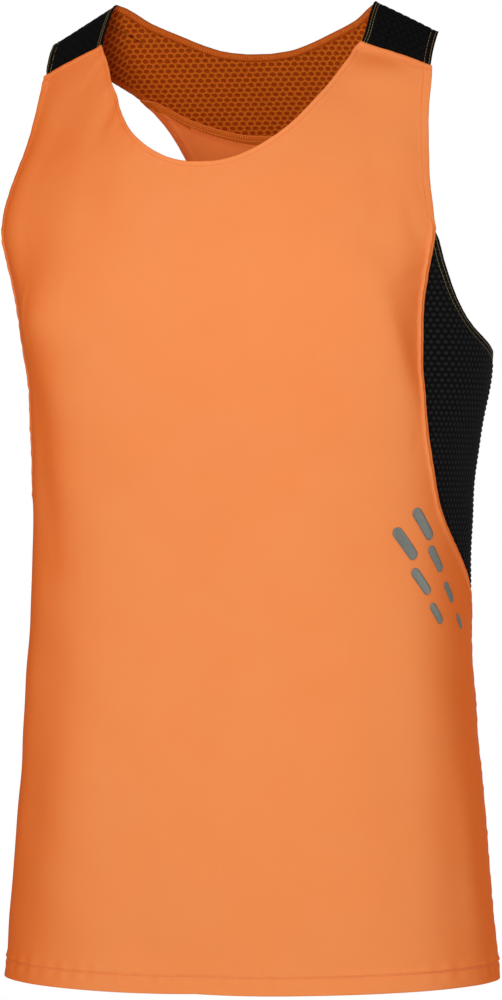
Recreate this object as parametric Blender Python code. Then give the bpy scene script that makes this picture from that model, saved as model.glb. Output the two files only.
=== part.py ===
"""A running singlet, filled out as on a figure that isn't there.

Metres, +Z up. The front faces -Y and the left arm is towards +X. The origin is in the middle between
the shoulders, level with the place where the neck edge crosses the shoulder line. The cloth lies on a
general figure, which is a stack of level sections that closes over two sloping shoulders. Each piece
of the pattern is a net of points on that figure between its own seam lines, made into a thin wall.
"""

from collections import namedtuple

import bmesh
import bpy
import numpy as np

# The cloth.
WALL = 0.0013
TURNED_WALL = 0.0021
SEAM_GAP = 0.0003
HEM_TURN = 0.0130
EDGE_TURN = 0.0050
STEP_DOWN = 0.0012

# The shoulders.
RIDGE_Y = -0.0118
CROWN_RISE = 0.0265
NECK_HALF = 0.100
SHOULDER_DROP = 0.250
SHOULDER_ROUND = 1.8

# The hem hangs a little lower in the middle of the front and back than at the sides.
HEM_MIDDLE = 0.7137
HEM_SIDE_RISE = 0.0058
SIDE_SEAM_ANGLE = 107.0

# Angles are in degrees round the figure: 0 is the middle of the front, 90 the left side, 180 the back.
DEGREE_LENGTH = 0.0026
RUN_LENGTH = 0.110
BY_LENGTH = (1, 1)
BY_ANGLE = (DEGREE_LENGTH, 1)
BY_RUN = (1, RUN_LENGTH)

# Level sections of the figure, by the depth below the origin. A squareness of 2 is an ellipse.
Section = namedtuple("Section", "below half_width front back squareness")
SECTIONS = (
    Section(0.000, 0.1650, 0.0720, 0.0300, 3.20),
    Section(0.040, 0.1660, 0.0880, 0.0355, 3.20),
    Section(0.100, 0.1628, 0.1110, 0.0615, 2.95),
    Section(0.160, 0.1686, 0.1190, 0.0880, 3.00),
    Section(0.210, 0.1669, 0.1210, 0.1020, 3.10),
    Section(0.254, 0.1656, 0.1190, 0.1070, 3.10),
    Section(0.300, 0.1642, 0.1150, 0.1050, 3.10),
    Section(0.350, 0.1620, 0.1090, 0.0980, 3.00),
    Section(0.400, 0.1605, 0.1050, 0.0920, 2.80),
    Section(0.450, 0.1615, 0.1040, 0.0930, 2.70),
    Section(0.520, 0.1656, 0.1070, 0.0990, 2.60),
    Section(0.600, 0.1734, 0.1110, 0.1060, 2.50),
    Section(0.680, 0.1812, 0.1140, 0.1110, 2.40),
    Section(0.720, 0.1838, 0.1150, 0.1120, 2.40),
)

# Where the cloth stands off the figure (out above zero) or lies nearer to it.
Swell = namedtuple("Swell", "angle below half_angle half_height out")
SWELLS = (
    Swell(-70.0, 0.156, 15.0, 0.050, 0.0123),  # the right armhole gapes
    Swell(-72.0, 0.095, 15.0, 0.036, 0.0012),
    Swell(-82.0, 0.291, 19.0, 0.076, -0.0136),  # the cloth is taut under the right arm
    Swell(94.0, 0.260, 24.0, 0.042, 0.0103),  # the left underarm stands out
    Swell(-62.0, 0.520, 16.0, 0.070, 0.0030),
)

# The largest creases, each from its top to its foot. The depth along one follows half a wave, less
# this share of it at both ends.
CREASE_END_FADE = 0.15
Crease = namedtuple("Crease", "angle below foot_angle foot_below half_width out")
CREASES = (
    Crease(50.0, 0.196, 62.0, 0.272, 0.014, -0.0042),  # from the bust to the left side seam
    Crease(40.0, 0.205, 54.0, 0.300, 0.016, 0.0022),
    Crease(52.0, 0.345, 66.0, 0.660, 0.024, -0.0034),  # down the left of the front
    Crease(36.0, 0.400, 50.0, 0.715, 0.026, 0.0024),
    Crease(-57.0, 0.130, -60.0, 0.240, 0.013, -0.0036),  # beside the right armhole
    Crease(-54.0, 0.390, -58.0, 0.560, 0.022, -0.0030),
    Crease(-64.0, 0.560, -66.0, 0.715, 0.020, -0.0030),
    Crease(-22.0, 0.620, -20.0, 0.715, 0.022, -0.0020),
    Crease(140.0, 0.300, 148.0, 0.520, 0.024, -0.0036),  # the back's own soft folds
    Crease(-136.0, 0.330, -150.0, 0.600, 0.026, -0.0032),
    Crease(168.0, 0.420, 172.0, 0.715, 0.024, -0.0026),
)

# Seams and edges of the pattern, for the left half. Across is the distance from the middle.
Mark = namedtuple("Mark", "across below")
FRONT_NECK = (
    Mark(0.0000, 0.1192),
    Mark(0.0150, 0.1182),
    Mark(0.0300, 0.1140),
    Mark(0.0460, 0.1055),
    Mark(0.0620, 0.0925),
    Mark(0.0760, 0.0740),
    Mark(0.0850, 0.0600),
    Mark(0.0913, 0.0468),
    Mark(0.1005, 0.0306),
)
SHOULDER_SEAM = (
    Mark(0.1005, 0.0306),
    Mark(0.1251, 0.0401),
    Mark(0.1496, 0.0506),
)
BACK_NECK = (
    Mark(0.0986, 0.0009),
    Mark(0.0860, 0.0083),
    Mark(0.0725, 0.0160),
    Mark(0.0510, 0.0250),
    Mark(0.0300, 0.0323),
    Mark(0.0120, 0.0350),
    Mark(0.0000, 0.0354),
)
YOKE_SEAM = (
    Mark(0.0955, 0.0670),
    Mark(0.0763, 0.0775),
    Mark(0.0627, 0.0849),
    Mark(0.0485, 0.0901),
    Mark(0.0347, 0.0940),
    Mark(0.0180, 0.0970),
    Mark(0.0000, 0.0977),
)
FRONT_ARMHOLE = (
    Mark(0.1603, 0.1678),
    Mark(0.1583, 0.1500),
    Mark(0.1552, 0.1300),
    Mark(0.1524, 0.1000),
    Mark(0.1507, 0.0750),
    Mark(0.1496, 0.0506),
)
BACK_ARMHOLE = (
    Mark(0.1346, 0.2400),
    Mark(0.1130, 0.2260),
    Mark(0.0870, 0.2030),
    Mark(0.0690, 0.1780),
    Mark(0.0620, 0.1530),
    Mark(0.0640, 0.1300),
    Mark(0.0701, 0.1100),
    Mark(0.0790, 0.0890),
    Mark(0.0955, 0.0670),
)
BACK_STRAP_EDGE = (
    Mark(0.0955, 0.0670),
    Mark(0.1140, 0.0535),
    Mark(0.1300, 0.0430),
    Mark(0.1405, 0.0345),
)
RIDGE_ACROSS = 0.1483

# Seams and edges of the side panel, by angle.
Turn = namedtuple("Turn", "angle below")
SIDE_FRONT_SEAM = (
    Turn(107.0, 0.4560),
    Turn(102.8, 0.4335),
    Turn(97.6, 0.4167),
    Turn(91.8, 0.4010),
    Turn(86.8, 0.3898),
    Turn(82.1, 0.3782),
    Turn(78.0, 0.3642),
    Turn(74.6, 0.3467),
    Turn(70.6, 0.3218),
    Turn(68.0, 0.3000),
    Turn(66.2, 0.2730),
    Turn(65.4, 0.2450),
    Turn(66.2, 0.2124),
    Turn(67.4, 0.1900),
    Turn(69.0, 0.1678),
)
SIDE_BACK_SEAM = (
    Turn(107.0, 0.4560),
    Turn(110.0, 0.4200),
    Turn(113.5, 0.3700),
    Turn(117.0, 0.3150),
    Turn(120.0, 0.2700),
    Turn(122.0, 0.2400),
)
UNDERARM = (
    Turn(69.0, 0.1678),
    Turn(73.6, 0.1897),
    Turn(80.4, 0.2164),
    Turn(87.5, 0.2350),
    Turn(98.0, 0.2480),
    Turn(106.0, 0.2540),
    Turn(114.5, 0.2515),
    Turn(122.0, 0.2400),
)

# How many even steps of the nets lie along each seam or edge, besides those of its turned ends.
NECK_STEPS = 12
SHOULDER_STEPS = 3
YOKE_SEAM_STEPS = 10
STRAP_STEPS = 11
SIDE_SEAM_STEPS = 9
SIDE_PANEL_STEPS = 13
FRONT_ARMHOLE_STEPS = 6
BACK_ARMHOLE_STEPS = 12
UNDERARM_STEPS = 11
TIP_SHARE = 0.12
FINE_STEPS = 40

# Steps to either side of a point that give the cloth's slope there.
TURN_PROBE = 0.2
LENGTH_PROBE = 0.0005
RUN_PROBE = 0.003

SHARP_ANGLE = 60
CLOTH_ROUGHNESS = 0.75

ORANGE = (0.831, 0.231, 0.069)
BLACK = (0.008, 0.008, 0.009)


def along(heights, values, at):
    """A smooth line through the values, read at the given heights."""
    at = np.clip(at, heights[0], heights[-1])
    slopes = np.gradient(values, heights)
    low = np.clip(np.searchsorted(heights, at) - 1, 0, len(heights) - 2)
    span = heights[low + 1] - heights[low]
    t = (at - heights[low]) / span
    rise = values[low + 1] - values[low]
    curve = slopes[low] * span * t * (1 - t) ** 2 - slopes[low + 1] * span * t**2 * (1 - t)
    return values[low] + rise * t**2 * (3 - 2 * t) + curve


def section(below):
    """Half width, front depth, back depth and squareness at a depth."""
    table = np.array(SECTIONS)
    return [along(table[:, 0], table[:, column], below) for column in range(1, 5)]


def crown(across):
    """Height of the shoulder line above the origin: an arch between the straps, straight along them."""
    reach = np.abs(across) / NECK_HALF
    return CROWN_RISE * np.where(reach < 1, 1 - reach**2, 2 - 2 * reach)


def closing(drop):
    """Share of a section's full depth at a drop below the shoulder line."""
    left = 1 - np.clip(drop / SHOULDER_DROP, 0, 1)
    return (1 - left**SHOULDER_ROUND) ** (1 / SHOULDER_ROUND)


def drop_of(share):
    """The drop below the shoulder line where a section has that share of its depth."""
    return SHOULDER_DROP * (1 - (1 - share**SHOULDER_ROUND) ** (1 / SHOULDER_ROUND))


def relief(x, y, below):
    """How far the cloth stands off the figure at a place on it."""
    angle = np.degrees(np.arctan2(x, -y))
    out = np.zeros_like(x)
    for swell in SWELLS:
        near = ((angle - swell.angle) / swell.half_angle) ** 2
        near = near + ((below - swell.below) / swell.half_height) ** 2
        out = out + swell.out * np.exp(-near)
    for crease in CREASES:
        sweep = (crease.foot_angle - crease.angle) * DEGREE_LENGTH
        reach = np.array((sweep, crease.foot_below - crease.below))
        length = np.linalg.norm(reach)
        turned = (angle - crease.angle + 180) % 360 - 180
        from_top = np.stack((turned * DEGREE_LENGTH, below - crease.below), -1)
        share = np.clip(from_top @ reach / length**2, 0, 1)
        aside = np.linalg.norm(from_top - share[..., None] * reach, axis=-1)
        fade = np.sin(np.pi * (CREASE_END_FADE + (1 - 2 * CREASE_END_FADE) * share))
        out = out + crease.out * fade * np.exp(-((aside / crease.half_width) ** 2))
    return out


def stand_off(x, y, below):
    """Places on the figure moved out to the cloth."""
    out = relief(x, y, below)
    away = np.hypot(x, y)
    return np.stack((x + out * x / away, y + out * y / away, -below), -1)


def around(angle, below):
    """Places by the angle round the figure."""
    half_width, front, back, squareness = section(below)
    sine = np.sin(np.radians(angle))
    cosine = np.cos(np.radians(angle))
    depth = np.where(cosine > 0, front, back)
    power = (np.abs(sine) / half_width) ** squareness + (np.abs(cosine) / depth) ** squareness
    radius = power ** (-1 / squareness)
    x = radius * sine
    share = closing(crown(x) + below)
    y = RIDGE_Y + (-radius * cosine - RIDGE_Y) * share
    return stand_off(x, y, below)


def over(across, run):
    """Places by the way over the shoulders: run is 0 on the shoulder line and above 0 behind it."""
    share = np.abs(run)
    below = drop_of(share) - crown(across)
    half_width, front, back, squareness = section(below)
    depth = np.where(run < 0, -front, back)
    full = depth * (1 - (np.abs(across) / half_width) ** squareness) ** (1 / squareness)
    return stand_off(across, RIDGE_Y + (full - RIDGE_Y) * share, below)


def angles_of(marks, behind):
    """Marks as points in angle and depth."""
    across, below = np.array(marks).T
    half_width, front, back, squareness = section(below)
    depth = -back if behind else front
    y = depth * (1 - (across / half_width) ** squareness) ** (1 / squareness)
    return np.stack((np.degrees(np.arctan2(across, y)), below), -1)


def runs_of(marks, behind):
    """Marks as points in distance across and run."""
    across, below = np.array(marks).T
    share = closing(crown(across) + below)
    return np.stack((across, share if behind else -share), -1)


def lengths_of(line, scale):
    """The length of a line up to each of its points."""
    pace = np.linalg.norm(np.diff(line * scale, axis=0), axis=1)
    return np.concatenate(((0,), np.cumsum(pace)))


def shares_of(line, scale):
    length = lengths_of(line, scale)
    return length / length[-1]


def smooth_line(points, steps, scale, start=0, end=0):
    """Points along a smooth line through the given ones. Steps is their number or their shares."""
    points = np.array(points, float)
    index = np.arange(len(points), dtype=float)
    fine = np.linspace(0, index[-1], FINE_STEPS * len(points))
    line = np.stack([along(index, points[:, k], fine) for k in range(2)], -1)
    length = lengths_of(line, scale)
    shares = stepped(steps, length[-1], start, end) if isinstance(steps, int) else steps
    at = np.interp(shares * length[-1], length, fine)
    return np.stack([along(index, points[:, k], at) for k in range(2)], -1)


def even(steps):
    return np.linspace(0, 1, steps + 1)


def stepped(steps, length, start=0, end=0):
    """Even shares of a line, besides a turned edge and the step down beside it at either end."""
    low = np.array((0, start, start + STEP_DOWN) if start else (0,)) / length
    high = 1 - np.array((end + STEP_DOWN, end, 0) if end else (0,)) / length
    between = low[-1] + (high[0] - low[-1]) * even(steps)[1:-1]
    return np.concatenate((low, between, high))


def chain(*lines):
    """Lines end to end, each joint named once."""
    return np.concatenate([lines[0]] + [line[1:] for line in lines[1:]])


def net(foot, head, first, last, scale):
    """A net of points between four lines: rows go from first to last, columns from foot to head."""
    u = shares_of(head, scale)[None, :, None]
    v = shares_of(last, scale)[:, None, None]
    sides = (1 - u) * first[:, None] + u * last[:, None]
    ends = (1 - v) * foot[None] + v * head[None]
    low = (1 - u) * foot[0] + u * foot[-1]
    high = (1 - u) * head[0] + u * head[-1]
    return sides + ends - (1 - v) * low - v * high


def outward(place, points):
    """Directions out of the cloth at points of a net's coordinates."""
    a, b = points[..., 0], points[..., 1]
    near = (TURN_PROBE, LENGTH_PROBE) if place is around else (LENGTH_PROBE, RUN_PROBE)
    across = place(a + near[0], b) - place(a - near[0], b)
    down = place(a, b + near[1]) - place(a, b - near[1])
    normal = np.cross(down, across)
    normal /= np.linalg.norm(normal, axis=-1, keepdims=True)
    if place is over:
        return normal * np.sign(normal[..., 2:3])
    middle = place(a, b) * (1, 1, 0)
    facing = np.sum(normal * middle, axis=-1, keepdims=True)
    return normal * np.sign(facing)


def eased(points):
    """The net with its four borders drawn in by half of the gap at a seam."""
    points = points.copy()
    for _ in range(2):
        for border, inner in ((0, 1), (-1, -2)):
            way = points[inner] - points[border]
            line = np.gradient(points[border], axis=0)
            line /= np.linalg.norm(line, axis=1, keepdims=True)
            way -= line * np.sum(way * line, axis=1, keepdims=True)
            points[border] += way / np.linalg.norm(way, axis=1, keepdims=True) * SEAM_GAP / 2
        points = points.swapaxes(0, 1)
    return points


def cloth(name, colour):
    made = bpy.data.materials.new(name)
    made.diffuse_color = (*colour, 1)
    made.use_nodes = True
    shader = made.node_tree.nodes["Principled BSDF"]
    shader.inputs["Base Color"].default_value = (*colour, 1)
    shader.inputs["Roughness"].default_value = CLOTH_ROUGHNESS
    shader.inputs["Metallic"].default_value = 0
    return made


def add_panel(name, outer, inner, material):
    """A closed wall between two nets of points."""
    rows, columns = outer.shape[:2]
    bm = bmesh.new()
    bmesh.ops.create_grid(bm, x_segments=columns - 1, y_segments=rows - 1, size=1)
    index = bm.verts.layers.int.new("index")
    for number, vert in enumerate(bm.verts):
        vert[index] = number
    made = bmesh.ops.extrude_face_region(bm, geom=list(bm.faces), use_keep_orig=True)
    lining = {item for item in made["geom"] if isinstance(item, bmesh.types.BMVert)}
    for vert in bm.verts:
        net_points = inner if vert in lining else outer
        vert.co = net_points[vert[index] // columns, vert[index] % columns]
    bmesh.ops.recalc_face_normals(bm, faces=bm.faces)
    mesh = bpy.data.meshes.new(name)
    bm.to_mesh(mesh)
    bm.free()
    mesh.shade_smooth()
    mesh.set_sharp_from_angle(angle=np.radians(SHARP_ANGLE))
    mesh.materials.append(material)
    panel = bpy.data.objects.new(name, mesh)
    bpy.context.collection.objects.link(panel)
    return panel


def wall(name, place, points, turned, material, shape=eased):
    """A panel of cloth on the figure. Turned is true on the net's points that have a turned edge."""
    outer = place(points[..., 0], points[..., 1])
    thickness = np.where(turned, TURNED_WALL, WALL)[..., None]
    normal = outward(place, points)
    return add_panel(name, shape(outer), shape(outer - normal * thickness), material)


def borders(points, *sides):
    """Where a net has a turned edge: two points deep along the named sides."""
    turned = np.zeros(points.shape[:2], bool)
    places = {
        "foot": np.s_[:2],
        "head": np.s_[-2:],
        "first": np.s_[:, :2],
        "last": np.s_[:, -2:],
    }
    for side in sides:
        turned[places[side]] = True
    return turned


def hem_line(start, end, shares):
    """The hem between two angles."""
    angle = start + (end - start) * shares
    lift = HEM_SIDE_RISE * np.sin(np.radians(angle)) ** 2
    return np.stack((angle, HEM_MIDDLE - lift), -1)


def hem_place(angle):
    return hem_line(angle, angle, np.zeros(1))[0]


def side_seam():
    foot = hem_place(SIDE_SEAM_ANGLE)
    tip = np.array(SIDE_FRONT_SEAM[0])
    shares = stepped(SIDE_SEAM_STEPS, foot[1] - tip[1], start=HEM_TURN)
    return foot + shares[:, None] * (tip - foot)


def side_panel_seam(turns):
    return smooth_line(turns, SIDE_PANEL_STEPS, BY_ANGLE, end=EDGE_TURN)


def shoulder_seam():
    return smooth_line(SHOULDER_SEAM, SHOULDER_STEPS, BY_LENGTH, start=EDGE_TURN, end=EDGE_TURN)


def yoke_seam():
    return smooth_line(YOKE_SEAM, YOKE_SEAM_STEPS, BY_LENGTH, start=EDGE_TURN)


def middle_line(angle, top, shares):
    """A line straight up the middle of the front or back."""
    foot = hem_place(angle)
    return foot + shares[:, None] * (np.array((angle, top)) - foot)


def front_panel(material):
    neck = smooth_line(angles_of(FRONT_NECK, False), NECK_STEPS, BY_ANGLE)
    shoulder = angles_of(shoulder_seam(), False)
    edge = angles_of(FRONT_ARMHOLE, False)
    armhole = smooth_line(edge, FRONT_ARMHOLE_STEPS, BY_ANGLE, end=EDGE_TURN)
    head = chain(neck, shoulder)
    side = chain(side_seam(), side_panel_seam(SIDE_FRONT_SEAM), armhole)
    middle = middle_line(0, FRONT_NECK[0].below, shares_of(side, BY_ANGLE))
    foot = hem_line(0, SIDE_SEAM_ANGLE, shares_of(head, BY_ANGLE))
    half = net(foot, head, middle, side, BY_ANGLE)
    points = np.concatenate((half[:, :0:-1] * (-1, 1), half), axis=1)
    turned = borders(points, "foot", "head", "first", "last")
    wall("front_panel", around, points, turned, material)


def back_panel(material):
    head = angles_of(yoke_seam(), True)
    armhole = smooth_line(angles_of(BACK_ARMHOLE, True), BACK_ARMHOLE_STEPS, BY_ANGLE)
    side = chain(side_seam(), side_panel_seam(SIDE_BACK_SEAM), armhole)
    middle = middle_line(180, YOKE_SEAM[-1].below, shares_of(side, BY_ANGLE))
    foot = hem_line(SIDE_SEAM_ANGLE, 180, shares_of(head, BY_ANGLE))
    half = net(foot, head, side, middle, BY_ANGLE)
    points = np.concatenate((half, half[:, -2::-1] * (-1, 1) + (360, 0)), axis=1)
    turned = borders(points, "foot", "first", "last")
    wall("back_panel", around, points, turned, material)


def with_tip(points):
    """A leaf's net whose first row, all in one place, becomes a short blunt end."""
    points = points.copy()
    points[0] += TIP_SHARE * (points[1] - points[0])
    return eased(points)


def side_panel(name, side, material):
    front = side_panel_seam(SIDE_FRONT_SEAM)
    back = side_panel_seam(SIDE_BACK_SEAM)
    head = smooth_line(UNDERARM, UNDERARM_STEPS, BY_ANGLE)
    foot = np.repeat(front[:1], len(head), axis=0)
    points = net(foot, head, front, back, BY_ANGLE) * (side, 1)
    wall(name, around, points, borders(points, "head"), material, with_tip)


def back_yoke(material):
    """The yoke's net runs from the front seam over the shoulder to the middle of the back."""
    start = runs_of(shoulder_seam(), False)
    strap = runs_of(BACK_STRAP_EDGE, True)[::-1]
    edge = np.concatenate((start[-1:], ((RIDGE_ACROSS, 0),), strap))
    outer = chain(smooth_line(edge, STRAP_STEPS, BY_RUN), runs_of(yoke_seam(), True))
    neck_edge = np.concatenate((start[:1], runs_of(BACK_NECK, True)))
    neck = smooth_line(neck_edge, shares_of(outer, BY_RUN), BY_RUN)
    end = neck[-1] + shares_of(start, BY_RUN)[:, None] * (outer[-1] - neck[-1])
    half = net(neck, outer, start, end, BY_RUN)
    points = np.concatenate((half, half[:, -2::-1] * (-1, 1)), axis=1)
    wall("back_yoke", over, points, borders(points, "foot", "head"), material)


def build():
    for item in list(bpy.data.objects):
        bpy.data.objects.remove(item)
    knit = cloth("orange knit", ORANGE)
    mesh_knit = cloth("two-tone mesh knit", BLACK)
    front_panel(knit)
    back_panel(knit)
    back_yoke(mesh_knit)
    side_panel("side_panel_left", 1, mesh_knit)
    side_panel("side_panel_right", -1, mesh_knit)


build()
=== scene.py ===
import math

import bmesh
import bpy
import numpy as np
from mathutils import Matrix, Vector
from mathutils.kdtree import KDTree


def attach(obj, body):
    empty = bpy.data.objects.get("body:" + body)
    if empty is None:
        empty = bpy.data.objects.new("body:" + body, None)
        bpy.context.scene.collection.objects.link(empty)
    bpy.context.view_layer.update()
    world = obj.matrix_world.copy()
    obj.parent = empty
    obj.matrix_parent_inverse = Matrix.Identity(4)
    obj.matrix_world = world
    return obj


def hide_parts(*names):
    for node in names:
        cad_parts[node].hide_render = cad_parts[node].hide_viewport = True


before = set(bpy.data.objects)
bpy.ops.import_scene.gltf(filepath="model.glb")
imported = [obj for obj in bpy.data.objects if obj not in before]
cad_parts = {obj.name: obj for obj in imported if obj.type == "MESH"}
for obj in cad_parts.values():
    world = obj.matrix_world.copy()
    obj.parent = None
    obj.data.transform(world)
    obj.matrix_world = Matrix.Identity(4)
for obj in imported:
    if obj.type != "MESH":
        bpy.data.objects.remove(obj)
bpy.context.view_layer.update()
print("frame loaded")


# Rows of numbers as one array for each named column
def columns(names, *rows):
    return dict(zip(names.split(), np.array(rows, float).T))


# The figure that fills the singlet: level sections that close over two sloping shoulders.
# Metres, and depths are below the origin, which is between the shoulders.
figure = {
    "ridgeY": -0.0118,
    "crownRise": 0.0265,
    "neckHalf": 0.100,
    "shoulderDrop": 0.250,
    "shoulderRound": 1.8,
    "runLength": 0.110,  # cloth for each run, over the shoulders
    "hemMiddle": 0.7137,
    "hemSideRise": 0.0064,
    "hemLowAngle": 18.0,
    "sections": columns(
        "below halfWidth front back squareness",
        (0.000, 0.1650, 0.0720, 0.0300, 3.20),
        (0.040, 0.1660, 0.0880, 0.0355, 3.20),
        (0.100, 0.1628, 0.1110, 0.0615, 2.95),
        (0.160, 0.1686, 0.1190, 0.0880, 3.00),
        (0.210, 0.1669, 0.1210, 0.1020, 3.10),
        (0.254, 0.1656, 0.1190, 0.1070, 3.10),
        (0.300, 0.1642, 0.1150, 0.1050, 3.10),
        (0.350, 0.1620, 0.1090, 0.0980, 3.00),
        (0.400, 0.1605, 0.1050, 0.0920, 2.80),
        (0.450, 0.1615, 0.1040, 0.0930, 2.70),
        (0.520, 0.1656, 0.1070, 0.0990, 2.60),
        (0.600, 0.1734, 0.1110, 0.1060, 2.50),
        (0.680, 0.1812, 0.1140, 0.1110, 2.40),
        (0.720, 0.1838, 0.1150, 0.1120, 2.40),
    ),
}

# How the cloth leaves the figure. Angles are in degrees round it: 0 the front, 90 the left side.
drape = {
    "degreeLength": 0.0026,
    "creaseEndFade": 0.15,
    "strapUneven": 0.0012,
    "unevenOver": 0.09,
    "unevenFall": 4.0,
    # Broad places that stand off the figure, or lie nearer to it
    "swells": columns(
        "angle below halfAngle halfHeight out",
        (-70.0, 0.156, 15.0, 0.050, 0.0123),
        (-72.0, 0.095, 15.0, 0.036, 0.0012),
        (-82.0, 0.291, 19.0, 0.076, -0.0136),
        (94.0, 0.260, 24.0, 0.042, 0.0103),
        (-62.0, 0.520, 16.0, 0.070, 0.0030),
        (-46.0, 0.200, 11.0, 0.050, 0.0018),
        (-53.0, 0.226, 8.0, 0.024, 0.0030),
    ),
    # Troughs and ridges, with a half width on the side of the lower angle and on the other
    "creases": columns(
        "angle below footAngle footBelow lowHalf highHalf out",
        (63.0, 0.034, 73.0, 0.043, 0.008, 0.010, -0.0038),  # under the left shoulder seam
        (60.0, 0.059, 72.0, 0.049, 0.008, 0.013, 0.0038),
        (60.0, 0.088, 55.0, 0.178, 0.008, 0.010, -0.0014),  # beside the armholes
        (64.0, 0.150, 66.0, 0.180, 0.007, 0.006, -0.0012),
        (-52.0, 0.036, -46.0, 0.100, 0.009, 0.007, -0.0018),
        (-44.0, 0.095, -38.0, 0.175, 0.016, 0.020, -0.0012),
        (-64.0, 0.070, -57.0, 0.200, 0.012, 0.026, -0.0036),
        (68.5, 0.203, 70.5, 0.285, 0.022, 0.018, -0.0092),  # from the bust to the side panels
        (50.5, 0.196, 64.5, 0.300, 0.020, 0.012, 0.0036),
        (49.0, 0.212, 66.0, 0.191, 0.012, 0.007, 0.0020),
        (-66.0, 0.247, -42.0, 0.238, 0.026, 0.012, 0.0026),
        (52.0, 0.345, 66.0, 0.660, 0.020, 0.026, -0.0028),  # down the left of the front
        (36.0, 0.400, 50.0, 0.715, 0.026, 0.026, 0.0024),
        (38.0, 0.630, 39.0, 0.700, 0.020, 0.020, -0.0012),
        (77.0, 0.560, 78.0, 0.712, 0.020, 0.014, -0.0024),
        (-57.0, 0.258, -60.0, 0.400, 0.018, 0.022, -0.0054),  # down the right of the front
        (-58.0, 0.420, -62.0, 0.620, 0.022, 0.030, -0.0034),
        (-64.0, 0.560, -66.0, 0.715, 0.020, 0.020, -0.0020),
        (-46.0, 0.440, -45.0, 0.700, 0.026, 0.030, 0.0022),
        (-22.0, 0.620, -20.0, 0.715, 0.022, 0.022, -0.0020),
        (-10.0, 0.400, -4.0, 0.690, 0.030, 0.036, -0.0010),
        (-52.0, 0.688, 36.0, 0.690, 0.012, 0.016, -0.0015),  # over the hem
        (118.0, 0.520, 122.0, 0.700, 0.020, 0.018, -0.0022),  # down the back
        (140.0, 0.300, 148.0, 0.520, 0.024, 0.024, -0.0036),
        (152.0, 0.170, 160.0, 0.300, 0.014, 0.018, -0.0018),
        (168.0, 0.420, 172.0, 0.715, 0.024, 0.024, -0.0026),
        (-172.0, 0.560, -166.0, 0.710, 0.020, 0.024, -0.0018),
        (-168.0, 0.250, -160.0, 0.480, 0.020, 0.020, -0.0016),
        (-150.0, 0.180, -158.0, 0.300, 0.016, 0.014, -0.0016),
        (-136.0, 0.330, -150.0, 0.600, 0.026, 0.026, -0.0032),
        (-112.0, 0.500, -118.0, 0.700, 0.018, 0.020, -0.0024),
    ),
    # Faint waves everywhere: a number of them round the body, and radians for each metre down it
    "waves": columns(
        "round down phase out",
        (5.0, 42.0, 0.4, 0.00030),
        (-8.0, 66.0, 2.1, 0.00022),
        (13.0, -102.0, 4.0, 0.00014),
        (3.0, 138.0, 1.2, 0.00012),
    ),
}

# Seams and edges for the left half, by distance from the middle and depth
marks = {
    "frontNeck": (
        (0.0000, 0.1192), (0.0150, 0.1182), (0.0300, 0.1140), (0.0460, 0.1055), (0.0620, 0.0925),
        (0.0760, 0.0740), (0.0850, 0.0600), (0.0913, 0.0468), (0.1005, 0.0306),
    ),
    "shoulderSeam": ((0.1005, 0.0306), (0.1251, 0.0401), (0.1496, 0.0506)),
    "backNeck": (
        (0.0986, 0.0009), (0.0860, 0.0083), (0.0725, 0.0160), (0.0510, 0.0250), (0.0300, 0.0323),
        (0.0120, 0.0350), (0.0000, 0.0354),
    ),
    "yokeSeam": (
        (0.0955, 0.0670), (0.0763, 0.0775), (0.0627, 0.0849), (0.0485, 0.0901), (0.0347, 0.0940),
        (0.0180, 0.0970), (0.0000, 0.0977),
    ),
    "frontArmhole": (
        (0.1603, 0.1678), (0.1583, 0.1500), (0.1552, 0.1300), (0.1524, 0.1000), (0.1507, 0.0750),
        (0.1496, 0.0506),
    ),
    "backArmhole": (
        (0.1346, 0.2400), (0.1130, 0.2260), (0.0870, 0.2030), (0.0690, 0.1780), (0.0620, 0.1530),
        (0.0640, 0.1300), (0.0701, 0.1100), (0.0790, 0.0890), (0.0955, 0.0670),
    ),
    "backStrap": ((0.0955, 0.0670), (0.1140, 0.0535), (0.1300, 0.0430), (0.1405, 0.0345)),
    "ridgeAcross": 0.1483,  # where the yoke's outer edge crosses the shoulder line
    "neckRuns": ((0.1005, -0.25), (0.1003, -0.08)),  # its neck edge there, by distance and run
}

# The side panel's, by angle and depth
turns = {
    "frontSeam": (
        (107.0, 0.4560), (102.6, 0.4335), (97.0, 0.4167), (90.6, 0.4010), (85.2, 0.3898),
        (80.3, 0.3782), (76.4, 0.3642), (73.5, 0.3467), (70.4, 0.3218), (68.8, 0.3000),
        (68.5, 0.2730), (68.7, 0.2450), (68.4, 0.2124), (68.6, 0.1900), (69.0, 0.1678),
    ),
    "backSeam": (
        (107.0, 0.4560), (110.0, 0.4200), (113.5, 0.3700), (117.0, 0.3150), (120.0, 0.2700),
        (122.0, 0.2400),
    ),
    "underarm": (
        (69.0, 0.1678), (73.6, 0.1897), (80.4, 0.2164), (87.5, 0.2350), (98.0, 0.2480),
        (106.0, 0.2540), (114.5, 0.2515), (122.0, 0.2400),
    ),
    "sideSeam": 107.0,
}

# Net coordinates to metres: by angle and depth, by distance and run, and by distance and depth
byAngle = (drape["degreeLength"], 1)
byRun = (1, figure["runLength"])
byLength = (1, 1)


# A smooth line through values, read anywhere along it
def along(heights, values, at):
    at = np.clip(at, heights[0], heights[-1])
    slopes = np.gradient(values, heights)
    low = np.clip(np.searchsorted(heights, at) - 1, 0, len(heights) - 2)
    span = heights[low + 1] - heights[low]
    t = (at - heights[low]) / span
    rise = values[low + 1] - values[low]
    curve = slopes[low] * span * t * (1 - t) ** 2 - slopes[low + 1] * span * t**2 * (1 - t)
    return values[low] + rise * t**2 * (3 - 2 * t) + curve


# 0 to 1 over a stretch, with soft ends
def soft(value):
    value = np.clip(value, 0, 1)
    return value * value * (3 - 2 * value)


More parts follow.
